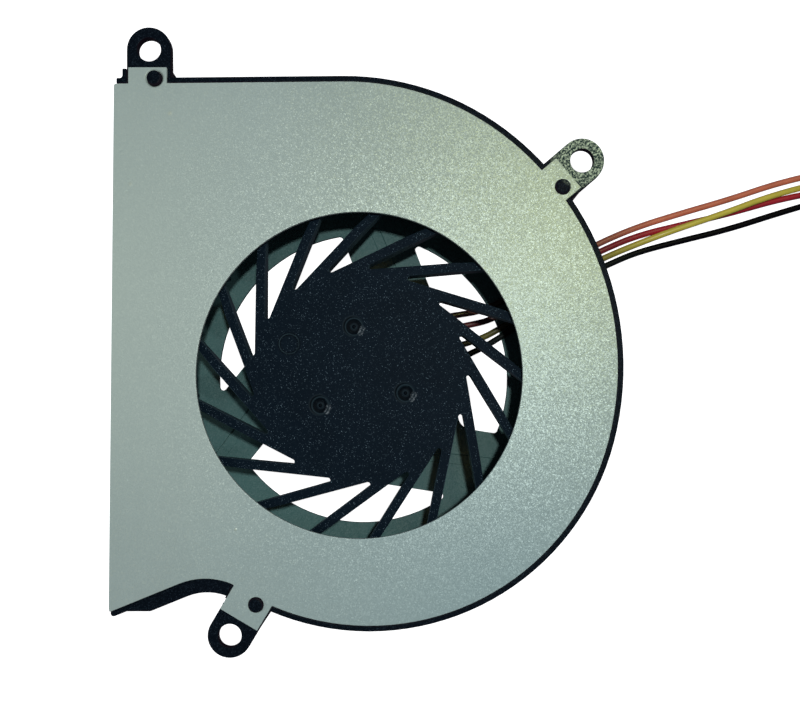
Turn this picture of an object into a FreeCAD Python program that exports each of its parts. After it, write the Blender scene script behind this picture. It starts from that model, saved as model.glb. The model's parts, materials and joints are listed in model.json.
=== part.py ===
import FreeCAD, Part
import math
import os

# Blower fan of a portable computer, at its real size in millimetres.
#
# A flat scroll housing of black plastic is closed by two steel sheets: a cover with the round
# inlet on top, and a base with three openings below. The sheets sit in rebates of the wall and
# are held by plastic pins staked through them at the three fixing ears. An external-rotor motor
# on the base turns the impeller, whose seventeen straight blades hang on shallow arms. Air
# enters from both faces and leaves through the long open side. Four wires run from the motor's
# circuit board over the base and under the wall to a small four-way connector.
#
# Frame: the origin is on the impeller's axis in the plane of the base's underside, Z points up
# to the cover, and the open side faces -X.

V = FreeCAD.Vector
UP = V(0, 0, 1)
ORIGIN = V(0, 0, 0)

# Heights of the housing
FAN_HEIGHT = 11.0            # underside of the base to the top of the cover
COVER_SHEET = 0.5
BASE_SHEET = 0.6
COVER_SEAT = FAN_HEIGHT - COVER_SHEET
SHEET_GAP = 0.03             # play of a sheet in its rebate

# Scroll wall, followed clockwise from the open side along its outer face
WALL = 1.6
RIM = 0.75                   # plastic outside the edge of a sheet
SCROLL_START = (-31.2, 37.85)
SCROLL_HEADING = 0.55        # degrees, along the top straight
SCROLL_STRAIGHT = 29.05
SCROLL_ARCS = ((34.05, 40.05), (38.0, 65.0), (32.2, 101.0))     # radius, turn in degrees
SHEET_CORNER = (-31.87, -30.16)   # lower corner of the sheets on the open side
SHEET_ROUND = 0.3            # radius of their two corners there
LEAD = 2.0                   # the outlines start this much before the open side, and are cut there
END_DEPTH = 5.0              # depth of those cuts
SIDE_FROM = -0.5             # reach of those cuts, in shares of the open side's length
SIDE_MIDDLE = 0.5
SIDE_TO = 1.5
WALL_SETBACK = 0.3           # wall ends this much behind the edge of the sheets
TONGUE_PROUD = 0.15          # tongue ends this much before it

# Tongue, followed from the open side towards the lower ear along the edge of the sheets
TONGUE_START = (-31.6, -30.05)
TONGUE_HEADING = 22.1
TONGUE_STRAIGHT = 9.4
TONGUE_ARC = (8.8, 44.0)
TONGUE_LEDGE = 0.9           # plastic under the cover
TONGUE_SHELF = 2.0           # plastic outside the cover's edge
TONGUE_TIP = 0.85            # the same at the thin end
TONGUE_TIP_ROUND = 0.4
TONGUE_SHELF_DROP = 0.5      # shelf below the cover's seat
TONGUE_SHELF_END_Y = -30.3   # the shelf is cut off square here

# Fixing ears: hole centre, direction outwards, the two sides of the cover's tab (left positive)
# and the staked pin (behind the hole, to the left)
EAR_RADIUS = 2.85
EAR_BORE = 1.5
EAR_THICKNESS = 1.1
TAB_BACK = 2.5               # edge of the tab behind the hole's centre
EARS = {
    "upper": {"at": (-26.9, 41.68), "turn": 90.0, "tab": (-2.43, 2.48), "pin": (3.9, -0.85), "root": 6.5},
    "right": {"at": (28.47, 27.48), "turn": 40.3, "tab": (-2.58, 2.33), "pin": (4.23, -1.01), "root": 7.6},
    "lower": {"at": (-16.58, -33.28), "turn": 239.3, "tab": (-2.79, 2.7), "pin": (5.26, 0.87), "root": 7.8},
}
PIN_RADIUS = 0.95
PIN_ROOT = 0.5               # pin starts this much below the cover's seat
PIN_DISH = (1.2, 0.2)        # radius and depth of the dish round the upper pin
PIN_HEAD = 0.32              # head above the cover
PIN_HEAD_CHAMFER = 0.15
PIN_FLARE = 1.2              # flush head in the base
PIN_GAP = 0.05
BASE_TAB_HALF = 1.8          # half width of the base's tab round a pin
NIB = ((-30.15, 37.6), (-29.6, 39.05))      # upstand between the wall's end and the upper ear
NIB_FOOT = (0.4, 37.83)      # radius at its foot, and the height on the picture where it ends

# Inlet and the base's openings
INLET_RADIUS = 20.8
BASE_OPENING_RADIUS = 20.2
BASE_DISC_RADIUS = 14.15
STRUTS = ((111.0, 4.35, 13.25), (231.0, 5.2, 14.05), (351.0, 4.7, 14.15))   # direction, offsets of its edges
STRUT_BLEND = 6.0            # corners nearer than this to a strut's foot on the disc stay sharp
STRUT_PAST_OPENING = 1.8
STRUT_LENGTH = BASE_OPENING_RADIUS + STRUT_PAST_OPENING
INNER_CORNER = 2.0           # radius of an opening's corner at the disc
OUTER_CORNER = 0.5           # radius of its corners at the opening's circle
COIN_DIRECTIONS = (114.0, 234.0, 354.0)     # a groove is coined along each strut
COIN_OFFSET = 9.9            # from the axis to the groove's middle
COIN_WIDTH = 1.35
COIN_START = 7.6             # along the groove
COIN_PAST_OPENING = 0.6
COIN_REACH = (COIN_START, BASE_OPENING_RADIUS + COIN_PAST_OPENING)
COIN_DEPTH = 0.18

# Impeller
IMPELLER_RADIUS = 27.5
BLADES = 17
BLADE_PHASE = 157.9          # direction of the first blade's foot
BLADE_FOOT = 1.3             # thickness where the blade leaves the hub
BLADE_END = 1.0              # thickness at the tip
BLADE_CROTCH = 0.33          # radius between a blade and its neighbour
HUB_RADIUS = 13.45
HUB_SINK = 0.6               # hub's top below the cover's top
HUB_TOP = FAN_HEIGHT - HUB_SINK
HUB_SKIN = 0.9
HUB_BOTTOM = 2.7
ARM_DEPTH = 2.7
SLOPE_RADII = (18.8, 20.6)   # between these the top falls from the arm's to the blade's
ARM_END_RADIUS = 23.3        # here the arm carries the full-height blade
BLADE_GAP_TOP = 0.8          # under the cover
BLADE_GAP_BOTTOM = 1.2       # over the base
BLADE_TOP = COVER_SEAT - BLADE_GAP_TOP
BLADE_BOTTOM = BASE_SHEET + BLADE_GAP_BOTTOM
DIMPLE_CIRCLE = 6.3
DIMPLE_ANGLES = (96.5, 217.3, 339.2)
DIMPLE_RADIUS = 1.45
DIMPLE_FLOOR = 0.75
DIMPLE_DEPTH = 0.4
DIMPLE_NUB = (0.3, 0.2)      # radius and height of the nub in its middle
GATE_MARK = (1.27, 0.04)     # radius and depth of the round mark on the hub
GATE_AT = (-9.0, 4.05)

# Rotor inside the hub
YOKE_SHEET = 0.6
YOKE_TOP_SHEET = 0.5
YOKE_RECESS = 0.5            # yoke's rim above the hub's
YOKE_BOTTOM = HUB_BOTTOM + YOKE_RECESS
MAGNET_THICKNESS = 1.5
MAGNET_END_GAP = 0.3         # from the yoke's top, and from its rim
MAGNET_BOTTOM = YOKE_BOTTOM + MAGNET_END_GAP
YOKE_CEILING = HUB_TOP - HUB_SKIN - YOKE_TOP_SHEET
MAGNET_TOP = YOKE_CEILING - MAGNET_END_GAP
SHAFT_RADIUS = 1.0
SHAFT_SINK = 0.5             # shaft's end below the hub's top
SHAFT_BOSS_RADIUS = 2.4
SHAFT_BOSS_HEIGHT = 1.85
SHAFT_BOSS_BOTTOM = HUB_TOP - SHAFT_BOSS_HEIGHT
GROOVE_RADIUS = 0.75
GROOVE_Z = 1.5
WASHER_THICKNESS = 0.25
WASHER_RADIUS = 1.8

# Bearing
HOUSING_TUBE_RADIUS = 2.75
TUBE_GAP = 0.35              # under the hub's boss
HOUSING_TUBE_TOP = SHAFT_BOSS_BOTTOM - TUBE_GAP
HOUSING_BORE = 2.2
HOUSING_FLOOR = 0.8
COLLAR_RADIUS = 3.4
FOOT_COLLAR = 0.4            # height of the collar on the base
SEAT_COLLAR = 0.5            # height of the collar under the stator
BEARING_PLAY = 0.04          # radial
BEARING_BOTTOM = 2.0
BEARING_RECESS = 0.6         # below the cup's rim
BEARING_TOP = HOUSING_TUBE_TOP - BEARING_RECESS
SEAL_THICKNESS = 0.35
SEAL_PLAY = 0.15
PAD_RADIUS = 1.6
PAD_THICKNESS = 0.4
PAD_GAP = 0.03

# Stator
STATOR_GAP = 0.4             # air gap under the magnet
POLES = 6
POLE_PHASE = 15.0
CORE_BOTTOM = 4.2
COIL_TOP_GAP = 0.4           # under the yoke
CORE_RING = 4.5
TOOTH_WIDTH = 2.0
SHOE_DEPTH = 1.0
SHOE_GAP_DEG = 14.0
INSULATOR = 0.3
INSULATOR_LIP = 0.7
INSULATOR_LIP_WIDTH = 0.45
COIL_SIDE_GAP = 0.15
COIL_SIDE = 0.95
COIL_ENDS = 0.7
COIL_END_GAP = 0.1           # between a coil and the lips at its two ends
COIL_ROUND = 0.5
CORE_TOP = YOKE_CEILING - COIL_TOP_GAP - COIL_ENDS - INSULATOR

# Circuit board
BOARD_INSET = 1.2            # board's edge inside the hub's
BOARD_RADIUS = HUB_RADIUS - BOARD_INSET
BOARD_BORE = 3.7
BOARD_THICKNESS = 0.8
CHIP = (3.0, 3.0, 0.9)
CHIP_INSET = 4.0             # from the board's edge to the chip's middle
CHIP_AT = (BOARD_RADIUS - CHIP_INSET, 200.0)        # radius, angle
CAPACITOR = (2.0, 1.25, 0.9)
CAPACITOR_INSET = 3.8
CAPACITOR_AT = (BOARD_RADIUS - CAPACITOR_INSET, 262.0)
PAD_BLOCK = (1.1, 1.3, 0.8)  # length along the wire, width, height of a soldered joint
PAD_CHAMFER = 0.2

# Wires
WIRE_DIAMETER = 0.85
FREE_ARC_SHARE = 0.45        # share of the shorter run that an arc takes
NOTCH_AT = (29.94, 15.5)
NOTCH_HEADING = 30.0
NOTCH_WIDTH = 4.7
NOTCH_TOP = 1.9
NOTCH_LENGTH = 8.0
WIRES = {
    "orange_wire": (
        (8.2, 7.9, 1.83), (12.6, 8.7, 1.8), (17.2, 9.5, 1.06), (23.0, 12.9, 1.06),
        (29.19, 16.8, 1.06), (33.0, 18.95, 0.82), (38.4, 21.3, 0.44), (44.9, 23.3, 0.44),
        (51.5, 25.2, 0.44), (58.0, 27.4, 0.44), (64.4, 28.9, 0.44), (71.2, 28.65, 0.44),
        (77.0, 26.2, 0.6), (81.48, 23.07, 1.6), (83.78, 21.15, 1.6)),
    "red_wire": (
        (9.6, 6.4, 1.83), (13.9, 7.2, 1.8), (18.2, 8.2, 1.06), (23.8, 11.7, 1.06),
        (29.69, 15.93, 1.06), (33.4, 17.95, 0.82), (38.6, 20.15, 0.44), (44.9, 21.65, 0.44),
        (51.5, 23.2, 0.44), (58.1, 25.1, 0.44), (64.55, 26.35, 0.44), (70.65, 26.2, 0.44),
        (75.6, 24.1, 0.6), (79.87, 21.16, 1.6), (82.17, 19.23, 1.6)),
    "yellow_wire": (
        (10.4, 3.8, 1.83), (14.6, 4.75, 1.8), (18.9, 6.7, 1.06), (24.5, 10.7, 1.06),
        (30.19, 15.07, 1.06), (33.8, 16.95, 0.82), (38.8, 19.05, 0.44), (43.6, 20.75, 1.42),
        (50.2, 22.95, 1.46), (56.5, 25.35, 1.42), (64.45, 27.6, 0.44), (70.95, 27.4, 0.44),
        (76.3, 25.15, 0.6), (80.67, 22.11, 1.6), (82.97, 20.19, 1.6)),
    "black_wire": (
        (11.0, 1.7, 1.83), (15.1, 3.4, 1.8), (19.5, 5.9, 1.06), (25.2, 10.1, 1.06),
        (30.69, 14.2, 1.06), (34.3, 15.95, 0.82), (38.4, 17.75, 0.44), (44.6, 19.35, 0.44),
        (51.2, 20.95, 0.44), (58.2, 23.2, 0.44), (64.65, 25.1, 0.44), (70.4, 24.95, 0.44),
        (74.9, 23.05, 0.6), (79.07, 20.2, 1.6), (81.37, 18.27, 1.6)),
}

# Connector at the wires' far end
PLUG_PITCH = 1.25
PLUG_HEADING = -40.0
PLUG_BACK = (82.575, 19.71)  # middle of the face that the wires enter
PLUG_LENGTH = 4.6
PLUG_HEIGHT = 3.2
PLUG_END_WALL = 0.8
PLUG_CAVITY = (0.8, 0.9)
TERMINAL_PLAY = 0.05
TERMINAL_BACK = 0.5          # terminals stop short of the front by this
PLUG_KEY = (2.6, 0.8, 0.5)   # length, width and depth of the two side ribs


def unit(angle):
    """Direction in the plane at an angle in degrees."""
    return V(math.cos(math.radians(angle)), math.sin(math.radians(angle)), 0)


def path_edges(start, heading, pieces, offset=0.0):
    """Edges of a path of lines and arcs that turn right, moved to its right by offset.

    A piece is a length, or a radius with the turn in degrees. Returns the edges, then the
    first and the last point.
    """
    point = V(start[0], start[1], 0) + unit(heading - 90) * offset
    first = point
    edges = []
    for piece in pieces:
        if isinstance(piece, tuple):
            radius, turn = piece[0] - offset, piece[1]
            centre = point + unit(heading - 90) * radius
            middle = centre + unit(heading + 90 - turn / 2) * radius
            end = centre + unit(heading + 90 - turn) * radius
            edges.append(Part.Arc(point, middle, end).toShape())
            heading -= turn
        else:
            end = point + unit(heading) * piece
            edges.append(Part.LineSegment(point, end).toShape())
        point = end
    return edges, first, point


def line(a, b):
    """Straight edge between two points."""
    return Part.LineSegment(a, b).toShape()


def prism(edges, bottom, top):
    """Solid between two heights over a closed outline."""
    wire = Part.Wire(Part.__sortEdges__(edges))
    face = Part.Face(wire)
    face.translate(V(0, 0, bottom))
    return face.extrude(V(0, 0, top - bottom))


def block(centre, heading, near, far, right, left, bottom, top):
    """Box in a turned frame: near to far along the heading, right to left across it."""
    solid = Part.makeBox(far - near, left - right, top - bottom, V(near, right, bottom))
    solid.rotate(ORIGIN, UP, heading)
    solid.translate(V(centre[0], centre[1], 0))
    return solid


def disc(radius, bottom, top, centre=(0, 0)):
    """Upright cylinder between two heights."""
    return Part.makeCylinder(radius, top - bottom, V(centre[0], centre[1], bottom))


def turned(profile):
    """Solid turned about the axis from a closed list of (radius, height) points."""
    points = [V(r, 0, z) for r, z in profile]
    face = Part.Face(Part.makePolygon(points + points[:1]))
    return face.revolve(ORIGIN, UP, 360)


def fused(solids):
    """One solid from several that overlap or touch."""
    return solids[0].multiFuse(solids[1:]).removeSplitter()


def outline(start, heading, first, rest, offset):
    """Path that starts LEAD before a point and then follows its pieces."""
    before = V(start[0], start[1], 0) - unit(heading) * LEAD
    return path_edges((before.x, before.y), heading, (LEAD + first,) + rest, offset)


def scroll_outline(inset):
    """Scroll's outer face, moved inwards by inset."""
    return outline(SCROLL_START, SCROLL_HEADING, SCROLL_STRAIGHT, SCROLL_ARCS, inset)


def tongue_outline(offset):
    """Edge of the sheets along the tongue, moved outwards by offset."""
    return outline(TONGUE_START, TONGUE_HEADING, TONGUE_STRAIGHT, (TONGUE_ARC,), offset)


def scroll_region(inset, tongue_offset, bottom, top):
    """Everything inside the scroll and the tongue, and a little past the open side."""
    scroll, scroll_first, scroll_last = scroll_outline(inset)
    tongue, tongue_first, tongue_last = tongue_outline(tongue_offset)
    ends = [line(scroll_last, tongue_last), line(tongue_first, scroll_first)]
    return prism(scroll + tongue + ends, bottom, top)


def tongue_band(inner, outer, bottom, top):
    """Band along the tongue between two offsets."""
    near, near_first, near_last = tongue_outline(inner)
    far, far_first, far_last = tongue_outline(outer)
    return prism(near + far + [line(near_first, far_first), line(near_last, far_last)], bottom, top)


def open_side_cut(setback, first, last, bottom, top):
    """Block that ends a piece at the open side, between two shares of the side's length."""
    side = V(SCROLL_START[0] - SHEET_CORNER[0], SCROLL_START[1] - SHEET_CORNER[1], 0)
    heading = math.degrees(math.atan2(side.y, side.x))
    along = first * side.Length, last * side.Length
    return block(SHEET_CORNER, heading, *along, -setback, END_DEPTH, bottom, top)


def upright_edges(solid):
    """Edges of a solid that stand along Z, from the left."""
    edges = [edge for edge in solid.Edges
             if edge.BoundBox.ZLength > 10 * max(edge.BoundBox.XLength, edge.BoundBox.YLength)]
    return sorted(edges, key=lambda edge: edge.CenterOfMass.x)


def trimmed_sheet(sheet, bottom, top):
    """Sheet ended at the open side, with its two corners there rounded."""
    trimmed = sheet.cut(open_side_cut(0, SIDE_FROM, SIDE_TO, bottom, top))
    return trimmed.makeFillet(SHEET_ROUND, upright_edges(trimmed)[:2])


def pin_point(ear):
    """Axis of an ear's staked pin."""
    back, side = ear["pin"]
    at = V(ear["at"][0], ear["at"][1], 0) - unit(ear["turn"]) * back + unit(ear["turn"] + 90) * side
    return at.x, at.y


def cover_plan(gap, bottom, top):
    """Cover's outline with its three tabs, grown by gap."""
    sheet = scroll_region(RIM - gap, 0.0, bottom, top)
    tabs = [
        block(ear["at"], ear["turn"], -ear["root"], -TAB_BACK + gap, ear["tab"][0] - gap, ear["tab"][1] + gap,
              bottom, top)
        for ear in EARS.values()]
    return fused([sheet] + tabs)


def base_plan(gap, bottom, top):
    """Base's outline with a tab round each pin, grown by gap."""
    sheet = scroll_region(RIM - gap, gap, bottom, top)
    tabs = []
    for ear in EARS.values():
        side = ear["pin"][1]
        tabs.append(block(ear["at"], ear["turn"], -ear["root"], -TAB_BACK + gap, side - BASE_TAB_HALF - gap,
                          side + BASE_TAB_HALF + gap, bottom, top))
    return fused([sheet] + tabs)


def make_nib():
    """Upstand at the upper ear, with a rounded foot on the wall's end."""
    low, high = NIB
    bottom = COVER_SEAT - EAR_THICKNESS
    radius, foot = NIB_FOOT
    rise = FAN_HEIGHT - bottom
    post = Part.makeBox(high[0] - low[0], high[1] - low[1], rise, V(low[0], low[1], bottom))
    web = Part.makeBox(radius, foot + radius - low[1], rise, V(low[0] - radius, low[1], bottom))
    return post.fuse(web.cut(disc(radius, bottom, FAN_HEIGHT, (low[0] - radius, foot + radius))))


def make_housing():
    """Scroll wall with its tongue, ears, bosses, staked pins and the wires' notch."""
    body = [scroll_region(0.0, TONGUE_SHELF, 0, FAN_HEIGHT), make_nib()]
    for ear in EARS.values():
        at, turn, root = ear["at"], ear["turn"], -ear["root"]
        body.append(block(at, turn, root, -TAB_BACK, -EAR_RADIUS, EAR_RADIUS, 0, COVER_SEAT))
        body.append(block(at, turn, root, 0, -EAR_RADIUS, EAR_RADIUS, COVER_SEAT - EAR_THICKNESS, COVER_SEAT))
        body.append(disc(EAR_RADIUS, COVER_SEAT - EAR_THICKNESS, COVER_SEAT, at))
    housing = body[0].multiFuse(body[1:])

    beyond = 1.0
    low, high = -beyond, FAN_HEIGHT + beyond
    outside = TONGUE_SHELF + beyond
    below_shelf = Part.makeBox(
        4 * END_DEPTH, 2 * END_DEPTH, high - low,
        V(TONGUE_START[0] - 2 * END_DEPTH, TONGUE_SHELF_END_Y - 2 * END_DEPTH, low))
    cuts = [
        scroll_region(WALL, -TONGUE_LEDGE, low, high),
        cover_plan(SHEET_GAP, COVER_SEAT, high),
        base_plan(SHEET_GAP, low, BASE_SHEET),
        tongue_band(-TONGUE_LEDGE - beyond, outside, COVER_SEAT, high),
        tongue_band(SHEET_GAP, outside, COVER_SEAT - TONGUE_SHELF_DROP, FAN_HEIGHT),
        tongue_band(TONGUE_TIP, outside, low, FAN_HEIGHT).common(below_shelf),
        open_side_cut(-TONGUE_PROUD, SIDE_FROM, SIDE_MIDDLE, low, high),
        open_side_cut(WALL_SETBACK, SIDE_MIDDLE, SIDE_TO, low, high),
        block(NOTCH_AT, NOTCH_HEADING, -NOTCH_LENGTH / 2, NOTCH_LENGTH / 2, -NOTCH_WIDTH / 2, NOTCH_WIDTH / 2,
              BASE_SHEET, NOTCH_TOP),
    ]
    cuts += [disc(EAR_BORE, 0, FAN_HEIGHT, ear["at"]) for ear in EARS.values()]
    housing = housing.cut(cuts)
    tip = min(upright_edges(housing), key=lambda edge: edge.CenterOfMass.x + edge.CenterOfMass.y)
    housing = housing.makeFillet(TONGUE_TIP_ROUND, [tip])

    pins = []
    for ear in EARS.values():
        at = pin_point(ear)
        pin = disc(PIN_RADIUS, COVER_SEAT - PIN_ROOT, FAN_HEIGHT + PIN_HEAD, at)
        rim = [edge for edge in pin.Edges if edge.BoundBox.ZMin > FAN_HEIGHT]
        pins.append(pin.makeChamfer(PIN_HEAD_CHAMFER, rim))
        pins.append(Part.makeCone(PIN_FLARE - PIN_GAP, PIN_RADIUS - PIN_GAP, BASE_SHEET, V(at[0], at[1], 0)))
    return fused([housing] + pins)


def make_top_cover():
    """Cover sheet with the inlet, three tabs and the pins' holes, the upper one dished."""
    sheet = trimmed_sheet(cover_plan(0.0, COVER_SEAT, FAN_HEIGHT), COVER_SEAT, FAN_HEIGHT)
    cuts = [disc(INLET_RADIUS, COVER_SEAT, FAN_HEIGHT)]
    at = pin_point(EARS["upper"])
    radius, depth = PIN_DISH
    cuts.append(Part.makeCone(PIN_RADIUS + PIN_GAP, radius, depth, V(at[0], at[1], FAN_HEIGHT - depth)))
    cuts += [disc(PIN_RADIUS + PIN_GAP, COVER_SEAT, FAN_HEIGHT, pin_point(ear)) for ear in EARS.values()]
    return sheet.cut(cuts)


def rounded_corners(opening, radius, low, high):
    """Opening with its corners between two distances from the axis rounded, away from the struts' feet."""
    feet = [unit(turn - 90) * far for turn, _, far in STRUTS]
    corners = []
    for edge in upright_edges(opening):
        place = V(edge.CenterOfMass.x, edge.CenterOfMass.y, 0)
        if low < place.Length < high and min(place.distanceToPoint(foot) for foot in feet) > STRUT_BLEND:
            corners.append(edge)
    return opening.makeFillet(radius, corners)


def base_openings(bottom, top):
    """Three openings round the base's disc, with rounded corners."""
    ring = disc(BASE_OPENING_RADIUS, bottom, top).cut(disc(BASE_DISC_RADIUS, bottom, top))
    struts = [block((0, 0), turn, 0, STRUT_LENGTH, -far, -near, bottom, top) for turn, near, far in STRUTS]
    middle = (BASE_DISC_RADIUS + BASE_OPENING_RADIUS) / 2
    openings = []
    for opening in ring.cut(struts).Solids:
        outer = rounded_corners(opening, OUTER_CORNER, middle, STRUT_LENGTH)
        openings.append(rounded_corners(outer, INNER_CORNER, 0, middle))
    return openings


def coined_grooves():
    """Shallow groove with round ends along each strut of the base."""
    near, far = COIN_REACH
    bottom = BASE_SHEET - COIN_DEPTH
    half = COIN_WIDTH / 2
    left, right = half - COIN_OFFSET, -half - COIN_OFFSET
    grooves = []
    for heading in COIN_DIRECTIONS:
        grooves.append(block((0, 0), heading, near, far, right, left, bottom, BASE_SHEET))
        for reach in COIN_REACH:
            end = unit(heading) * reach + unit(heading - 90) * COIN_OFFSET
            grooves.append(disc(half, bottom, BASE_SHEET, (end.x, end.y)))
    return grooves


def make_base_plate():
    """Base sheet with three openings, coined struts, the bearing's hole and the pins' holes."""
    sheet = trimmed_sheet(base_plan(0.0, 0, BASE_SHEET), 0, BASE_SHEET)
    cuts = base_openings(0, BASE_SHEET) + coined_grooves()
    cuts.append(disc(HOUSING_TUBE_RADIUS, 0, BASE_SHEET))
    for ear in EARS.values():
        at = pin_point(ear)
        cuts.append(Part.makeCone(PIN_FLARE, PIN_RADIUS, BASE_SHEET, V(at[0], at[1], 0)))
    return sheet.cut(cuts)


def make_blade(heading):
    """Straight blade: a tapered plan, cut to the side view of its arm and its full-height end."""
    tip = math.sqrt(IMPELLER_RADIUS ** 2 - HUB_RADIUS ** 2)
    slope_start, slope_end, drop = (
        math.sqrt(radius ** 2 - HUB_RADIUS ** 2) for radius in SLOPE_RADII + (ARM_END_RADIUS,))
    plan = Part.Face(Part.makePolygon([
        V(0, HUB_RADIUS - BLADE_FOOT, BLADE_BOTTOM), V(tip, HUB_RADIUS - BLADE_END, BLADE_BOTTOM),
        V(tip, HUB_RADIUS, BLADE_BOTTOM), V(0, HUB_RADIUS, BLADE_BOTTOM),
        V(0, HUB_RADIUS - BLADE_FOOT, BLADE_BOTTOM)])).extrude(UP * (HUB_TOP - BLADE_BOTTOM))
    start = HUB_RADIUS - 2 * BLADE_FOOT
    side = Part.Face(Part.makePolygon([
        V(0, start, HUB_TOP - ARM_DEPTH), V(0, start, HUB_TOP), V(slope_start, start, HUB_TOP),
        V(slope_end, start, BLADE_TOP), V(tip, start, BLADE_TOP), V(tip, start, BLADE_BOTTOM),
        V(drop, start, BLADE_BOTTOM), V(drop, start, HUB_TOP - ARM_DEPTH),
        V(0, start, HUB_TOP - ARM_DEPTH)])).extrude(V(0, 4 * BLADE_FOOT, 0))
    blade = plan.common(side)
    blade.rotate(ORIGIN, UP, heading)
    return blade


def make_impeller():
    """Hub cup with seventeen straight blades on shallow arms, and the shaft's boss."""
    inner = HUB_RADIUS - HUB_SKIN
    hub = turned([
        (0, HUB_TOP), (HUB_RADIUS, HUB_TOP), (HUB_RADIUS, HUB_BOTTOM), (inner, HUB_BOTTOM),
        (inner, HUB_TOP - HUB_SKIN), (SHAFT_BOSS_RADIUS, HUB_TOP - HUB_SKIN),
        (SHAFT_BOSS_RADIUS, SHAFT_BOSS_BOTTOM), (0, SHAFT_BOSS_BOTTOM)])
    blades = [make_blade(BLADE_PHASE - 90 + number * 360 / BLADES) for number in range(BLADES)]
    impeller = hub.multiFuse(blades).removeSplitter()
    crotches = [edge for edge in upright_edges(impeller)
                if abs(math.hypot(edge.CenterOfMass.x, edge.CenterOfMass.y) - HUB_RADIUS) < BLADE_END / 2]
    impeller = impeller.makeFillet(BLADE_CROTCH, crotches)
    boss = disc(SHAFT_BOSS_RADIUS, SHAFT_BOSS_BOTTOM, HUB_TOP)
    cuts = [disc(inner, HUB_BOTTOM, HUB_TOP - HUB_SKIN).cut(boss)]
    cuts.append(disc(SHAFT_RADIUS, SHAFT_BOSS_BOTTOM, HUB_TOP - SHAFT_SINK))
    for angle in DIMPLE_ANGLES:
        at = unit(angle) * DIMPLE_CIRCLE + UP * (HUB_TOP - DIMPLE_DEPTH)
        radius, height = DIMPLE_NUB
        nub = disc(radius, at.z, at.z + height, (at.x, at.y))
        cuts.append(Part.makeCone(DIMPLE_FLOOR, DIMPLE_RADIUS, DIMPLE_DEPTH, at).cut(nub))
    radius, depth = GATE_MARK
    cuts.append(disc(radius, HUB_TOP - depth, HUB_TOP, GATE_AT))
    return impeller.cut(cuts).removeSplitter()


def make_rotor_yoke():
    """Drawn steel cup inside the hub."""
    outer = HUB_RADIUS - HUB_SKIN
    top = HUB_TOP - HUB_SKIN
    return turned([
        (SHAFT_BOSS_RADIUS, top), (outer, top), (outer, YOKE_BOTTOM), (outer - YOKE_SHEET, YOKE_BOTTOM),
        (outer - YOKE_SHEET, top - YOKE_TOP_SHEET), (SHAFT_BOSS_RADIUS, top - YOKE_TOP_SHEET)])


def make_ring_magnet():
    """Magnet ring in the yoke."""
    outer = HUB_RADIUS - HUB_SKIN - YOKE_SHEET
    inner = outer - MAGNET_THICKNESS
    return disc(outer, MAGNET_BOTTOM, MAGNET_TOP).cut(disc(inner, MAGNET_BOTTOM, MAGNET_TOP))


def make_shaft():
    """Steel shaft with the groove of its retaining washer."""
    bottom = HOUSING_FLOOR + PAD_THICKNESS + PAD_GAP
    groove = GROOVE_Z + WASHER_THICKNESS
    return turned([
        (0, bottom), (SHAFT_RADIUS, bottom), (SHAFT_RADIUS, GROOVE_Z), (GROOVE_RADIUS, GROOVE_Z),
        (GROOVE_RADIUS, groove), (SHAFT_RADIUS, groove), (SHAFT_RADIUS, HUB_TOP - SHAFT_SINK),
        (0, HUB_TOP - SHAFT_SINK)])


def make_retaining_washer():
    """Washer snapped into the shaft's groove."""
    return disc(WASHER_RADIUS, GROOVE_Z, GROOVE_Z + WASHER_THICKNESS).cut(
        disc(GROOVE_RADIUS, GROOVE_Z, GROOVE_Z + WASHER_THICKNESS))


def make_bearing_housing():
    """Turned brass cup that stands in the base and carries the stator."""
    seat = CORE_BOTTOM - INSULATOR
    return turned([
        (0, 0), (HOUSING_TUBE_RADIUS, 0), (HOUSING_TUBE_RADIUS, BASE_SHEET), (COLLAR_RADIUS, BASE_SHEET),
        (COLLAR_RADIUS, BASE_SHEET + FOOT_COLLAR), (HOUSING_TUBE_RADIUS, BASE_SHEET + FOOT_COLLAR),
        (HOUSING_TUBE_RADIUS, seat - SEAT_COLLAR), (COLLAR_RADIUS, seat - SEAT_COLLAR), (COLLAR_RADIUS, seat),
        (HOUSING_TUBE_RADIUS, seat), (HOUSING_TUBE_RADIUS, HOUSING_TUBE_TOP),
        (HOUSING_BORE, HOUSING_TUBE_TOP), (HOUSING_BORE, HOUSING_FLOOR), (0, HOUSING_FLOOR)])


def make_sleeve_bearing():
    """Sintered sleeve in the brass cup."""
    return disc(HOUSING_BORE, BEARING_BOTTOM, BEARING_TOP).cut(
        disc(SHAFT_RADIUS + BEARING_PLAY, BEARING_BOTTOM, BEARING_TOP))


def make_oil_seal():
    """Washer over the sleeve that keeps the oil in."""
    top = BEARING_TOP + SEAL_THICKNESS
    return disc(HOUSING_BORE, BEARING_TOP, top).cut(disc(SHAFT_RADIUS + SEAL_PLAY, BEARING_TOP, top))


def make_thrust_pad():
    """Disc that the shaft's end runs on."""
    return disc(PAD_RADIUS, HOUSING_FLOOR, HOUSING_FLOOR + PAD_THICKNESS)


def stator_radius():
    """Outer radius of the stator's pole shoes."""
    return HUB_RADIUS - HUB_SKIN - YOKE_SHEET - MAGNET_THICKNESS - STATOR_GAP


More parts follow.
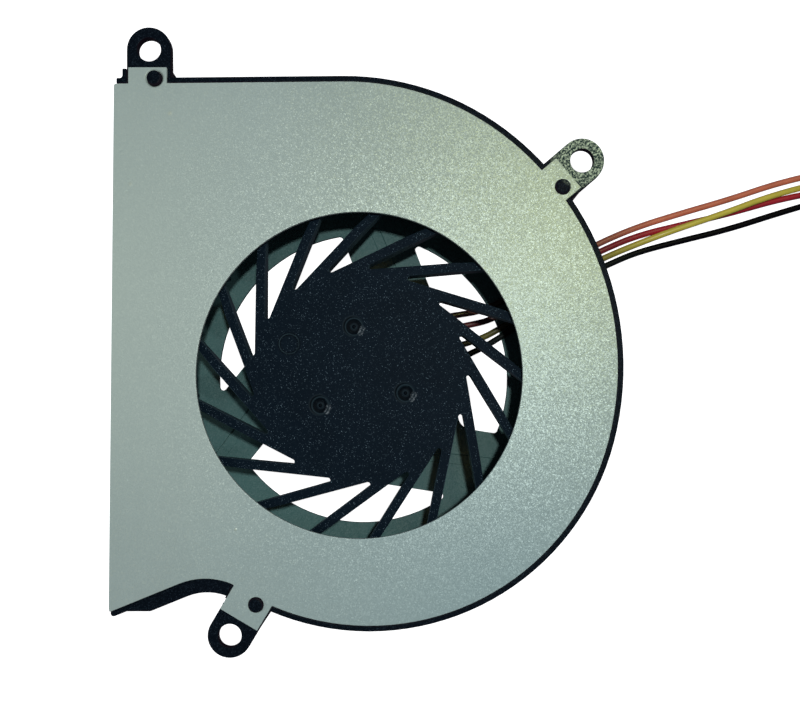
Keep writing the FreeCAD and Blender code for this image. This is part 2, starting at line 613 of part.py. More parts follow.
def star(bottom, top):
    """Ring with one tooth and shoe a pole, as the laminations are stamped."""
    outer = stator_radius()
    half = TOOTH_WIDTH / 2
    teeth = [disc(CORE_RING, bottom, top)]
    for pole in range(POLES):
        turn = POLE_PHASE + pole * 360 / POLES
        teeth.append(block((0, 0), turn, 0, outer - SHOE_DEPTH / 2, -half, half, bottom, top))
    shoes = disc(outer, bottom, top).cut(disc(outer - SHOE_DEPTH, bottom, top))
    gaps = []
    for pole in range(POLES):
        turn = POLE_PHASE + (pole + 0.5) * 360 / POLES
        half = outer * math.radians(SHOE_GAP_DEG) / 2
        gaps.append(block((0, 0), turn, outer - 2 * SHOE_DEPTH, outer + 1, -half, half, bottom, top))
    return fused(teeth + [shoes.cut(gaps)]).cut(disc(HOUSING_TUBE_RADIUS, bottom, top))


def make_stator_core():
    """Stack of laminations."""
    return star(CORE_BOTTOM, CORE_TOP)


def make_insulator(lower):
    """Plastic star on one face of the core, with lips that hold the coils."""
    if lower:
        face = CORE_BOTTOM
        sheet_end, lip_end = face - INSULATOR, face - INSULATOR - INSULATOR_LIP
    else:
        face = CORE_TOP
        sheet_end, lip_end = face + INSULATOR, face + INSULATOR + INSULATOR_LIP
    sheet = star(min(face, sheet_end), max(face, sheet_end))
    low, high = min(sheet_end, lip_end), max(sheet_end, lip_end)
    outer = stator_radius() - SHOE_DEPTH + INSULATOR_LIP_WIDTH
    lips = star(low, high).common(
        disc(outer, low, high).cut(disc(outer - INSULATOR_LIP_WIDTH, low, high)).multiFuse(
            [disc(CORE_RING, low, high).cut(disc(CORE_RING - INSULATOR_LIP_WIDTH, low, high))]))
    return fused([sheet] + lips.Solids)


def make_coil(pole):
    """Winding round one tooth: a rounded frame along the tooth."""
    near = CORE_RING + COIL_END_GAP
    inner_half = TOOTH_WIDTH / 2 + COIL_SIDE_GAP
    shoe_radius = stator_radius() - SHOE_DEPTH - COIL_END_GAP
    far = math.sqrt(shoe_radius ** 2 - (inner_half + COIL_SIDE) ** 2)
    low, high = CORE_BOTTOM - INSULATOR, CORE_TOP + INSULATOR
    outer = block((0, 0), 0, near, far, -inner_half - COIL_SIDE, inner_half + COIL_SIDE,
                  low - COIL_ENDS, high + COIL_ENDS)
    lengthwise = [edge for edge in outer.Edges if edge.BoundBox.XLength > 0.9 * (far - near)]
    outer = outer.makeFillet(COIL_ROUND, lengthwise)
    coil = outer.cut(block((0, 0), 0, near, far, -inner_half, inner_half, low, high))
    coil.rotate(ORIGIN, UP, POLE_PHASE + pole * 360 / POLES)
    return coil


def board_top():
    """Height of the circuit board's upper face."""
    return BASE_SHEET + BOARD_THICKNESS


def make_circuit_board():
    """Round board on the base's disc."""
    return disc(BOARD_RADIUS, BASE_SHEET, board_top()).cut(disc(BOARD_BORE, BASE_SHEET, board_top()))


def on_board(size, place):
    """Small block on the board, at a radius and an angle."""
    radius, angle = place
    length, width, height = size
    return block((0, 0), angle, radius - length / 2, radius + length / 2, -width / 2, width / 2,
                 board_top(), board_top() + height)


def make_solder_joints():
    """Four soldered joints, one at the inner end of each wire."""
    joints = []
    for points in WIRES.values():
        start, after = V(*points[0]), V(*points[1])
        heading = math.degrees(math.atan2(after.y - start.y, after.x - start.x))
        length, width, height = PAD_BLOCK
        joint = block((start.x, start.y), heading, -length, 0, -width / 2, width / 2, board_top(),
                      board_top() + height)
        roof = [edge for edge in joint.Edges if edge.BoundBox.ZMin > board_top() + height - 0.01]
        joints.append(joint.makeChamfer(PAD_CHAMFER, roof[:2]))
    return Part.makeCompound(joints)


def make_wire(name):
    """Insulated wire along its route: straight runs joined by tangent arcs."""
    points = [V(*point) for point in WIRES[name]]
    edges = []
    radii = []
    at = points[0]
    for before, corner, after in zip(points, points[1:], points[2:]):
        back, ahead = (before - corner), (after - corner)
        reach = FREE_ARC_SHARE * min(back.Length, ahead.Length)
        back.normalize()
        ahead.normalize()
        half_turn = (math.pi - back.getAngle(ahead)) / 2
        radius = reach / math.tan(half_turn)
        radii.append(radius)
        enter, leave = corner + back * reach, corner + ahead * reach
        inwards = back + ahead
        inwards.normalize()
        middle = corner + inwards * (radius / math.cos(half_turn) - radius)
        edges.append(line(at, enter))
        edges.append(Part.Arc(enter, middle, leave).toShape())
        at = leave
    edges.append(line(at, points[-1]))
    path = Part.Wire(edges)
    section = Part.Wire(Part.makeCircle(WIRE_DIAMETER / 2, points[0], points[1] - points[0]))
    wire = path.makePipeShell([section], True, False)
    expected = path.Length * math.pi * WIRE_DIAMETER ** 2 / 4
    ratio = wire.Volume / expected
    print(name, "length %.1f" % path.Length, "tightest %.1f" % min(radii), "volume ratio %.4f" % ratio)
    return wire


def plug_places():
    """Offsets of the connector's ways across it."""
    ways = len(WIRES)
    return [(way - (ways - 1) / 2) * PLUG_PITCH for way in range(ways)]


def make_connector_housing():
    """Connector body with four cavities and two side ribs."""
    half = max(plug_places()) + PLUG_CAVITY[0] / 2 + PLUG_END_WALL
    body = block(PLUG_BACK, PLUG_HEADING, 0, PLUG_LENGTH, -half, half, 0, PLUG_HEIGHT)
    length, width, depth = PLUG_KEY
    ribs = [
        block(PLUG_BACK, PLUG_HEADING, PLUG_LENGTH - length, PLUG_LENGTH, right, left,
              PLUG_HEIGHT - width, PLUG_HEIGHT)
        for right, left in ((-half - depth, -half), (half, half + depth))]
    middle = PLUG_HEIGHT / 2
    wide, high = PLUG_CAVITY
    cavities = [
        block(PLUG_BACK, PLUG_HEADING, 0, PLUG_LENGTH, place - wide / 2, place + wide / 2, middle - high / 2,
              middle + high / 2)
        for place in plug_places()]
    return fused([body] + ribs).cut(cavities)


def make_connector_terminals():
    """Four crimped terminals in the connector's cavities."""
    wide, high = PLUG_CAVITY[0] - 2 * TERMINAL_PLAY, PLUG_CAVITY[1] - 2 * TERMINAL_PLAY
    middle = PLUG_HEIGHT / 2
    return Part.makeCompound([
        block(PLUG_BACK, PLUG_HEADING, 0, PLUG_LENGTH - TERMINAL_BACK, place - wide / 2, place + wide / 2,
              middle - high / 2, middle + high / 2)
        for place in plug_places()])


def build():
    """All nodes by name."""
    nodes = {
        "housing": make_housing(),
        "top_cover": make_top_cover(),
        "base_plate": make_base_plate(),
        "impeller": make_impeller(),
        "rotor_yoke": make_rotor_yoke(),
        "ring_magnet": make_ring_magnet(),
        "shaft": make_shaft(),
        "retaining_washer": make_retaining_washer(),
        "bearing_housing": make_bearing_housing(),
        "sleeve_bearing": make_sleeve_bearing(),
        "oil_seal": make_oil_seal(),
        "thrust_pad": make_thrust_pad(),
        "stator_core": make_stator_core(),
        "upper_insulator": make_insulator(False),
        "lower_insulator": make_insulator(True),
        "circuit_board": make_circuit_board(),
        "driver_chip": on_board(CHIP, CHIP_AT),
        "capacitor": on_board(CAPACITOR, CAPACITOR_AT),
        "solder_joints": make_solder_joints(),
        "connector_housing": make_connector_housing(),
        "connector_terminals": make_connector_terminals(),
    }
    for pole in range(POLES):
        nodes["coil_%d" % (pole + 1)] = make_coil(pole)
    for name in WIRES:
        nodes[name] = make_wire(name)
    return nodes


os.makedirs("parts", exist_ok=True)
for node, shape in build().items():
    print(node, "solids", len(shape.Solids), "valid", shape.isValid(), "volume %.2f" % shape.Volume)
    shape.exportStep("parts/%s.step" % node)
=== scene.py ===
"""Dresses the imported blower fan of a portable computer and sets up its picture.

This file gives each of them its finish, puts rounded copies in place of the parts whose edges
catch the light, lays the four wires as smooth cords, and adds the floor, the lights and the
camera, which looks straight down as in the photograph.
"""

import json
import logging
import math
from dataclasses import dataclass, field
from enum import Enum
from typing import Any

import bpy
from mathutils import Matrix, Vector

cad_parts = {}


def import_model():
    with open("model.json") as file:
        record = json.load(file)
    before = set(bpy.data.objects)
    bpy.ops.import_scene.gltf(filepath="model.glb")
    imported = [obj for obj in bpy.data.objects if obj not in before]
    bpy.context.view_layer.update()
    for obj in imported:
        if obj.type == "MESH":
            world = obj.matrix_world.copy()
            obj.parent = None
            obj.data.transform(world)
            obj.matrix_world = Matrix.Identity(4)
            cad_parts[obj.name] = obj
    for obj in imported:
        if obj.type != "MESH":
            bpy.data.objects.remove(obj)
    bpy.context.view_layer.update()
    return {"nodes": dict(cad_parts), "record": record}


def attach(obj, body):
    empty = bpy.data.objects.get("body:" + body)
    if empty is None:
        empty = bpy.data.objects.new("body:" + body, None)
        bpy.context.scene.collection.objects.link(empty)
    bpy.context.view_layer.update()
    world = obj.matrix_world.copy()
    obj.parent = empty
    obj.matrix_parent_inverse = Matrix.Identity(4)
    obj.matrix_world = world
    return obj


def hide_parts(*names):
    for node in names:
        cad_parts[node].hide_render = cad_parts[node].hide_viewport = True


LOG = logging.getLogger("blower_fan")
MM = 0.001

# Most of a noise's values lie between the first two, and its middle between the others.
NOISE_LOW = 0.3
NOISE_HIGH = 0.7
MIDDLE_LOW = 0.35
MIDDLE_HIGH = 0.65

Colour = tuple[float, float, float]
Point = tuple[float, float, float]
Socket = bpy.types.NodeSocket


def metres(point: Point) -> Vector:
    """Turn a point in millimetres into one in metres."""
    return Vector(point) * MM


def darker(colour: Colour, share: float) -> Colour:
    """Return a colour at a share of its strength."""
    return tuple(part * share for part in colour)


class Grain(Enum):
    """How a finish's small relief lies on the surface, as the pattern's scale along each axis."""

    EVEN = (1.0, 1.0, 1.0)
    ROLLED = (1.0, 0.12, 1.0)
    SPUN = (0.15, 0.15, 1.0)


class NodeBench:
    """A material's node tree with short calls for the nodes that the finishes use."""

    WALL_SLOPE = 0.8
    TOP_SLOPE = 0.95

    def __init__(self, name: str) -> None:
        """Make a material with a Principled shader.

        Args:
            name: The material's name.
        """
        self.material = bpy.data.materials.new(name)
        self.material.use_nodes = True
        self.tree = self.material.node_tree
        self.shader = self.tree.nodes["Principled BSDF"]
        self.place = self.tree.nodes.new("ShaderNodeTexCoord").outputs["Object"]

    def link(self, source: Socket, target: Socket) -> None:
        """Join an output to an input."""
        self.tree.links.new(source, target)

    def feed(self, socket: Socket, value: Any) -> None:
        """Link an output to a socket, or set the socket's value.

        Args:
            socket: The input to feed.
            value: An output, a number or a colour with its alpha.
        """
        if isinstance(value, bpy.types.NodeSocket):
            self.link(value, socket)
        else:
            socket.default_value = value

    def stretched(self, grain: Grain) -> Socket:
        """Scale the Object coordinates along each axis.

        Args:
            grain: How the pattern lies.

        Returns:
            The scaled coordinates.
        """
        node = self.tree.nodes.new("ShaderNodeMapping")
        node.inputs["Scale"].default_value = grain.value
        self.link(self.place, node.inputs["Vector"])
        return node.outputs["Vector"]

    def noise(self, size_mm: float, detail: float = 2.0, place: Socket | None = None,
              roughness: float = 0.5) -> Socket:
        """Make a noise.

        Args:
            size_mm: Size of its largest features in millimetres.
            detail: How many finer layers are added.
            place: Coordinates, or None for plain Object coordinates.
            roughness: Strength of the finer layers.

        Returns:
            The noise's value, mostly from NOISE_LOW to NOISE_HIGH.
        """
        node = self.tree.nodes.new("ShaderNodeTexNoise")
        node.inputs["Scale"].default_value = 1.0 / (size_mm * MM)
        node.inputs["Detail"].default_value = detail
        node.inputs["Roughness"].default_value = roughness
        self.link(place or self.place, node.inputs["Vector"])
        return node.outputs["Fac"]

    def cell_colours(self, size_mm: float) -> Socket:
        """Make a random colour for each small cell.

        Args:
            size_mm: Size of a cell in millimetres.

        Returns:
            The colour of the cell.
        """
        node = self.tree.nodes.new("ShaderNodeTexVoronoi")
        node.inputs["Scale"].default_value = 1.0 / (size_mm * MM)
        self.link(self.place, node.inputs["Vector"])
        return node.outputs["Color"]

    def specks(self, size_mm: float, rarity: float) -> Socket:
        """Make scattered specks, each in a small cell.

        Args:
            size_mm: Size of a cell in millimetres.
            rarity: Power that the cells' random values are raised to.

        Returns:
            A value from zero to one for each cell, near zero in most of them.
        """
        split = self.tree.nodes.new("ShaderNodeSeparateColor")
        self.link(self.cell_colours(size_mm), split.inputs["Color"])
        return self.maths("POWER", split.outputs["Red"], rarity)

    def facets(self, size_mm: float, tilt: float, normal: Socket) -> Socket:
        """Turn a normal at random in each small cell, as the crystals of a zinc coat are.

        Args:
            size_mm: Size of a cell in millimetres.
            tilt: Largest turn along each axis, as a share of the normal's length.
            normal: The normal to turn.

        Returns:
            The turned normal.
        """
        shift = self.tree.nodes.new("ShaderNodeVectorMath")
        shift.operation = "MULTIPLY_ADD"
        self.link(self.cell_colours(size_mm), shift.inputs[0])
        shift.inputs[1].default_value = (2 * tilt,) * 3
        shift.inputs[2].default_value = (-tilt,) * 3
        turned = self.tree.nodes.new("ShaderNodeVectorMath")
        self.link(normal, turned.inputs[0])
        self.link(shift.outputs[0], turned.inputs[1])
        even = self.tree.nodes.new("ShaderNodeVectorMath")
        even.operation = "NORMALIZE"
        self.link(turned.outputs[0], even.inputs[0])
        return even.outputs[0]

    def span(self, value: Socket, low: float, high: float, to_low: float, to_high: float) -> Socket:
        """Map a value from one range to another, and hold it inside.

        Args:
            value: The value to map.
            low: Start of its range.
            high: End of its range.
            to_low: Result at the start.
            to_high: Result at the end.

        Returns:
            The mapped value.
        """
        node = self.tree.nodes.new("ShaderNodeMapRange")
        self.feed(node.inputs["Value"], value)
        for name, number in (("From Min", low), ("From Max", high), ("To Min", to_low), ("To Max", to_high)):
            node.inputs[name].default_value = number
        return node.outputs["Result"]

    def spread(self, noise: Socket, to_low: float, to_high: float) -> Socket:
        """Map a noise's usual range to another."""
        return self.span(noise, NOISE_LOW, NOISE_HIGH, to_low, to_high)

    def contrast(self, noise: Socket) -> Socket:
        """Map a noise's middle to the whole range from zero to one."""
        return self.span(noise, MIDDLE_LOW, MIDDLE_HIGH, 0.0, 1.0)

    def maths(self, operation: str, first: Any, second: Any = 0.0) -> Socket:
        """Work out one sum.

        Args:
            operation: The Math node's operation.
            first: An output or a number.
            second: The same, for operations that take two.

        Returns:
            The result.
        """
        node = self.tree.nodes.new("ShaderNodeMath")
        node.operation = operation
        self.feed(node.inputs[0], first)
        self.feed(node.inputs[1], second)
        return node.outputs[0]

    def blend(self, share: Any, first: Any, second: Any) -> Socket:
        """Mix two colours.

        Args:
            share: Share of the second colour, an output or a number.
            first: An output or a colour.
            second: An output or a colour.

        Returns:
            The mixed colour.
        """
        node = self.tree.nodes.new("ShaderNodeMix")
        node.data_type = "RGBA"
        self.feed(node.inputs["Factor"], share)
        for name, colour in (("A", first), ("B", second)):
            socket = next(s for s in node.inputs if s.name == name and s.type == "RGBA")
            self.feed(socket, colour if isinstance(colour, bpy.types.NodeSocket) else (*colour, 1.0))
        return next(s for s in node.outputs if s.type == "RGBA")

    def distance(self, centre: Point) -> Socket:
        """Measure how far the surface is from a point.

        Args:
            centre: The point in millimetres.

        Returns:
            The distance in metres.
        """
        node = self.tree.nodes.new("ShaderNodeVectorMath")
        node.operation = "DISTANCE"
        self.link(self.place, node.inputs[0])
        node.inputs[1].default_value = metres(centre)
        return node.outputs["Value"]

    def fade(self, away: Socket, band_mm: tuple[float, float], inside: float, outside: float) -> Socket:
        """Fade from one value to another across a band of distances."""
        return self.span(away, band_mm[0] * MM, band_mm[1] * MM, inside, outside)

    def spot(self, centre: Point, radius_mm: float) -> Socket:
        """Make a soft round mark, one at its centre and zero past its radius."""
        return self.fade(self.distance(centre), (0.0, radius_mm), 1.0, 0.0)

    def ring(self, centre: Point, radius_mm: float, width_mm: float) -> Socket:
        """Make a soft ring, one on its circle and zero past its width."""
        away = self.maths("ABSOLUTE", self.maths("SUBTRACT", self.distance(centre), radius_mm * MM))
        return self.fade(away, (0.0, width_mm), 1.0, 0.0)

    def upward(self) -> Socket:
        """Tell the surfaces that face up from the walls.

        Returns:
            One where the surface faces up, and zero on its walls.
        """
        normal = self.tree.nodes.new("ShaderNodeTexCoord").outputs["Normal"]
        split = self.tree.nodes.new("ShaderNodeSeparateXYZ")
        self.link(normal, split.inputs[0])
        return self.span(split.outputs["Z"], self.WALL_SLOPE, self.TOP_SLOPE, 0.0, 1.0)

    def relief(self, height: Socket, depth_mm: float, after: Socket | None = None) -> Socket:
        """Press a height pattern into the surface.

        Args:
            height: The pattern, from zero to one.
            depth_mm: Its depth in millimetres.
            after: A normal to add it to.

        Returns:
            The normal with the pattern in it.
        """
        node = self.tree.nodes.new("ShaderNodeBump")
        node.inputs["Distance"].default_value = depth_mm * MM
        self.link(height, node.inputs["Height"])
        if after is not None:
            self.link(after, node.inputs["Normal"])
        return node.outputs["Normal"]

    def finish(self, **values: Any) -> bpy.types.Material:
        """Set or link the shader's sockets.

        Args:
            **values: A value for each socket, under its name in small letters.

        Returns:
            The finished material.
        """
        for name, value in values.items():
            socket = self.shader.inputs[name.replace("_", " ").title().replace("Ior", "IOR")]
            if isinstance(value, tuple):
                value = (*value, 1.0)
            self.feed(socket, value)
        return self.material


@dataclass(frozen=True)
class Spot:
    """A round place on a piece."""

    centre: Point
    radius_mm: float


@dataclass(frozen=True)
class ColourPatch:
    """A soft-edged area of a finish that turns towards another colour; the sheets use these for tints and for
    painted sheen, light and shade.
    """

    centre: Point
    radius_mm: float
    share: float
    colour: Colour


@dataclass(frozen=True)
class Sheen:
    """A soft-edged area of a finish that shines more like bare metal."""

    centre: Point
    radius_mm: float
    share: float


@dataclass(frozen=True)
class Dent:
    """A small dent in a sheet, or a bright raised nick where its depth is below zero."""

    centre: Point
    radius_mm: float
    depth_mm: float


@dataclass(frozen=True)
class ZincSheet:
    """Galvanised steel sheet: a matt grey-green coat with fine sparkling grain."""

    name: str
    colour: Colour
    shade: Colour
    glint: Colour
    grain_mm: float = 0.14
    grain_depth_mm: float = 0.012
    mottle: float = 0.1
    cloud_mm: float = 12.0
    cloud_share: float = 0.6
    streak_mm: float = 1.6
    streak_share: float = 0.2
    spark_mm: float = 0.13
    spark_rarity: float = 6.0
    spark_share: float = 0.12
    tilt: float = 0.12
    metallic: float = 0.06
    roughness: float = 0.38
    gloss_change: float = 0.05
    dent_share: float = 0.5
    dents: tuple[Dent, ...] = ()
    # Patches of colour: tints, and painted sheen, light and shade.
    painted_light_and_tints: tuple[ColourPatch, ...] = ()
    sheens: tuple[Sheen, ...] = ()

    def tone(self, bench: NodeBench, grain: Socket) -> Socket:
        """Make the coat's uneven tone of clouds, rolled streaks and grain.

        Args:
            bench: The material's bench.
            grain: The sheet's fine grain.

        Returns:
            The share of the lighter colour.
        """
        clouds = bench.spread(bench.noise(self.cloud_mm, detail=4.0), 0.0, self.cloud_share)
        streaks = bench.noise(self.streak_mm, detail=3.0, place=bench.stretched(Grain.ROLLED))
        streaks = bench.spread(streaks, 0.0, self.streak_share)
        return bench.maths("ADD", bench.maths("ADD", clouds, streaks), bench.spread(grain, 0.0, self.mottle))

    def make(self) -> bpy.types.Material:
        """Build the sheet's material.

        Returns:
            The material.
        """
        bench = NodeBench(self.name)
        grain = bench.noise(self.grain_mm)
        colour = bench.blend(self.tone(bench, grain), self.shade, self.colour)
        sparks = bench.maths("MULTIPLY", bench.specks(self.spark_mm, self.spark_rarity), self.spark_share)
        colour = bench.blend(sparks, colour, self.glint)
        normal = bench.facets(self.spark_mm, self.tilt, bench.relief(grain, self.grain_depth_mm))
        for dent in self.dents:
            mark = bench.spot(dent.centre, dent.radius_mm)
            normal = bench.relief(mark, -dent.depth_mm, normal)
            tint = self.glint if dent.depth_mm < 0 else self.shade
            colour = bench.blend(bench.maths("MULTIPLY", mark, self.dent_share), colour, tint)
        # Patches of colour, among them painted sheen, painted light and painted shade.
        for patch in self.painted_light_and_tints:
            share = bench.maths("MULTIPLY", bench.spot(patch.centre, patch.radius_mm), patch.share)
            colour = bench.blend(share, colour, patch.colour)
        metal = self.metallic
        for sheen in self.sheens:
            share = bench.maths("MULTIPLY", bench.spot(sheen.centre, sheen.radius_mm), sheen.share)
            metal = bench.maths("ADD", share, metal)
        gloss = bench.spread(grain, self.roughness - self.gloss_change, self.roughness + self.gloss_change)
        return bench.finish(base_color=colour, roughness=gloss, metallic=metal, normal=normal)


@dataclass(frozen=True)
class MouldedPlastic:
    """Black moulded plastic with the fine texture of an eroded mould."""

    name: str
    colour: Colour
    # Painted glints: the colour of bright specks scattered over the plastic.
    glint_colour: Colour
    grain_mm: float = 0.14
    grain_depth_mm: float = 0.02
    glint_rarity: float = 10.0
    roughness: float = 0.42
    glossier: float = 0.06
    rougher: float = 0.1
    shine: float = 0.1
    # Painted light and shade: the colour that the walls take in place of the top's colour.
    walls: Colour = (0.02, 0.014, 0.024)
    cloud_mm: float = 4.0
    cloud_share: float = 0.3
    cloud_dark: float = 0.5
    # Painted shade: spots that turn darker, inside the dimples.
    smooth: tuple[Spot, ...] = ()
    dimple_shade_edge: float = 0.12
    dimple_shade_share: float = 0.9
    dimple_shade_dark: float = 0.3
    # Painted shade: darker rings where a ring is pressed in, such as a gate mark.
    pressed: tuple[Spot, ...] = ()
    pressed_mm: float = 0.28
    pressed_ring_shade: float = 0.2
    # Painted highlights: patches mottled with a sparkling painted reflection.
    highlight_patches: tuple[Spot, ...] = ()
    highlight_edge: float = 0.35
    highlight_colour: Colour = (0.82, 0.97, 0.66)
    highlight_under: Colour = (0.015, 0.045, 0.045)
    sparkle_mm: float = 0.24
    sparkle_from: float = 0.46
    sparkle_to: float = 0.59
    sparkle_roughness: float = 0.75
    # Painted highlights: lighter rims.
    rim_highlights: tuple[Spot, ...] = ()
    rim_highlight_mm: float = 0.14
    rim_highlight_share: float = 0.9

    def moulded(self, bench: NodeBench) -> Socket:
        """Make the plastic's colour with its painted glints and its painted light and shade.

        Args:
            bench: The material's bench.

        Returns:
            The colour with its painted glint specks, clouds, painted shade in the dimples and pressed rings,
            and painted wall colour.
        """
        # Painted glints, as scattered specks.
        colour = bench.blend(bench.specks(self.grain_mm, self.glint_rarity), self.colour, self.glint_colour)
        clouds = bench.spread(bench.noise(self.cloud_mm, detail=3.0), 0.0, self.cloud_share)
        colour = bench.blend(clouds, colour, darker(self.colour, self.cloud_dark))
        # Painted shade inside the dimples.
        for spot in self.smooth:
            mark = bench.spot(spot.centre, spot.radius_mm)
            mark = bench.span(mark, 0.0, self.dimple_shade_edge, 0.0, self.dimple_shade_share)
            colour = bench.blend(mark, colour, darker(self.colour, self.dimple_shade_dark))
        # Painted shade in the pressed rings.
        for spot in self.pressed:
            mark = bench.ring(spot.centre, spot.radius_mm, self.pressed_mm)
            colour = bench.blend(mark, colour, darker(self.colour, self.pressed_ring_shade))
        # Painted light and shade on the walls: all but the upward faces take the wall colour.
        return bench.blend(bench.upward(), self.walls, colour)

    def with_painted_highlights(self, bench: NodeBench, colour: Socket) -> Socket:
        """Add the painted highlights: patches mottled with a sparkling painted reflection, and lighter painted
        rims.

        Args:
            bench: The material's bench.
            colour: The colour before the highlights.

        Returns:
            The colour with its painted highlights.
        """
        sparkle = bench.noise(self.sparkle_mm, detail=4.0, roughness=self.sparkle_roughness)
        sparkle = bench.span(sparkle, self.sparkle_from, self.sparkle_to, 0.0, 1.0)
        for spot in self.highlight_patches:
            mark = bench.span(bench.spot(spot.centre, spot.radius_mm), 0.0, self.highlight_edge, 0.0, 1.0)
            mark = bench.maths("MULTIPLY", mark, bench.upward())
            colour = bench.blend(mark, colour, bench.blend(sparkle, self.highlight_under, self.highlight_colour))
        for spot in self.rim_highlights:
            mark = bench.ring(spot.centre, spot.radius_mm, self.rim_highlight_mm)
            colour = bench.blend(bench.maths("MULTIPLY", mark, self.rim_highlight_share), colour, self.highlight_under)
        return colour

    def make(self) -> bpy.types.Material:
        """Build the plastic's material.

        Returns:
            The material.
        """
        bench = NodeBench(self.name)
        colour = self.with_painted_highlights(bench, self.moulded(bench))
        gloss = bench.noise(2 * self.grain_mm)
        gloss = bench.spread(gloss, self.roughness - self.glossier, self.roughness + self.rougher)
        normal = bench.relief(bench.noise(self.grain_mm, detail=3.0), self.grain_depth_mm)
        return bench.finish(base_color=colour, roughness=gloss, specular_ior_level=self.shine, normal=normal)


@dataclass(frozen=True)
class WorkedMetal:
    """Turned, stamped or ground metal with fine tool lines."""

    name: str
    colour: Colour
    grain: Grain = Grain.EVEN
    roughness: float = 0.32
    line_mm: float = 0.12
    glossier: float = 0.06
    rougher: float = 0.12
    line_depth_mm: float = 0.004
    line_dark: float = 0.72

    def make(self) -> bpy.types.Material:
        """Build the metal's material.

        Returns:
            The material.
        """
        bench = NodeBench(self.name)
        lines = bench.noise(self.line_mm, detail=3.0, place=bench.stretched(self.grain))
        colour = bench.blend(bench.spread(lines, 0.0, 1.0), darker(self.colour, self.line_dark), self.colour)
        gloss = bench.spread(lines, self.roughness - self.glossier, self.roughness + self.rougher)
        normal = bench.relief(lines, self.line_depth_mm)
        return bench.finish(base_color=colour, metallic=1.0, roughness=gloss, normal=normal)


@dataclass(frozen=True)
class Sleeve:
    """Soft plastic sleeve of a wire, slightly uneven and glossy.

    The bands are distances from the impeller's axis over which the painted shadow inside the fan and the
    painted shade where the wire comes out fade.
    """

    name: str
    colour: Colour
    roughness: float = 0.34
    shine: float = 0.5
    # Colour of the painted shadow and shade.
    shadow_colour: Colour = (0.015, 0.02, 0.018)
    smear_mm: float = 2.2
    smear_dark: float = 0.85
    wave_mm: float = 0.35
    wave_depth_mm: float = 0.01
    gloss_mm: float = 0.5
    glossier: float = 0.05
    rougher: float = 0.12
    axis_mm: Point = (0.0, 0.0, 1.0)
    hub_band_mm: tuple[float, float] = (18.0, 20.4)
    hub_shadow: float = 0.8
    inlet_shadow: float = 0.96
    inlet_band_mm: tuple[float, float] = (30.0, 31.2)
    exit_band_mm: tuple[float, float] = (37.8, 45.6)
    exit_shade: float = 0.6

    def dimmed(self, bench: NodeBench) -> Socket:
        """Find where the sleeve takes painted shadow inside the fan, and painted shade where it comes out.

        Args:
            bench: The material's bench.

        Returns:
            The share of the painted shadow colour.
        """
        away = bench.distance(self.axis_mm)
        inside = bench.fade(away, self.inlet_band_mm, 1.0, 0.0)
        cover_shadow = bench.fade(away, self.hub_band_mm, self.hub_shadow, self.inlet_shadow)
        shade = bench.fade(away, self.exit_band_mm, self.exit_shade, 0.0)
        return bench.maths("MAXIMUM", bench.maths("MULTIPLY", inside, cover_shadow), shade)

    def make(self) -> bpy.types.Material:
        """Build the sleeve's material.

        Returns:
            The material.
        """
        bench = NodeBench(self.name)
        smear = bench.contrast(bench.noise(self.smear_mm, detail=3.0))
        colour = bench.blend(smear, darker(self.colour, self.smear_dark), self.colour)
        # Painted shadow inside the fan and painted shade at the exit.
        colour = bench.blend(self.dimmed(bench), colour, self.shadow_colour)
        gloss = bench.noise(self.gloss_mm)
        gloss = bench.spread(gloss, self.roughness - self.glossier, self.roughness + self.rougher)
        normal = bench.relief(bench.noise(self.wave_mm), self.wave_depth_mm)
        return bench.finish(base_color=colour, roughness=gloss, specular_ior_level=self.shine, normal=normal)


@dataclass(frozen=True)
class PlainPlastic:
    """Natural or filled plastic, ceramic or lacquer of the small inner parts."""

    name: str
    colour: Colour
    roughness: float = 0.45
    cloud_mm: float = 0.6
    cloud_dark: float = 0.78
    cloud_depth_mm: float = 0.006

    def make(self) -> bpy.types.Material:
        """Build the material.

        Returns:
            The material.
        """
        bench = NodeBench(self.name)
        clouds = bench.noise(self.cloud_mm, detail=3.0)
        colour = bench.blend(bench.contrast(clouds), darker(self.colour, self.cloud_dark), self.colour)
        normal = bench.relief(clouds, self.cloud_depth_mm)
        return bench.finish(base_color=colour, roughness=self.roughness, normal=normal)


@dataclass(frozen=True)
class WoundCopper:
    """Enamelled wire laid turn beside turn."""

    name: str
    colour: Colour
    wire_mm: float = 0.14
    wire_depth_mm: float = 0.05
    gap_shade: float = 0.45
    unevenness: float = 0.6
    metallic: float = 0.9
    roughness: float = 0.35

    def make(self) -> bpy.types.Material:
        """Build the winding's material.

        Returns:
            The material.
        """
        bench = NodeBench(self.name)
        turns = bench.tree.nodes.new("ShaderNodeTexWave")
        turns.wave_type = "RINGS"
        turns.rings_direction = "Z"
        turns.inputs["Scale"].default_value = 1.0 / (self.wire_mm * MM) / math.tau
        turns.inputs["Distortion"].default_value = self.unevenness
        bench.link(bench.place, turns.inputs["Vector"])
        height = turns.outputs["Fac"]
        # Painted shade in the gaps between the turns.
        colour = bench.blend(height, darker(self.colour, self.gap_shade), self.colour)
        normal = bench.relief(height, self.wire_depth_mm)
        return bench.finish(base_color=colour, metallic=self.metallic, roughness=self.roughness, normal=normal)


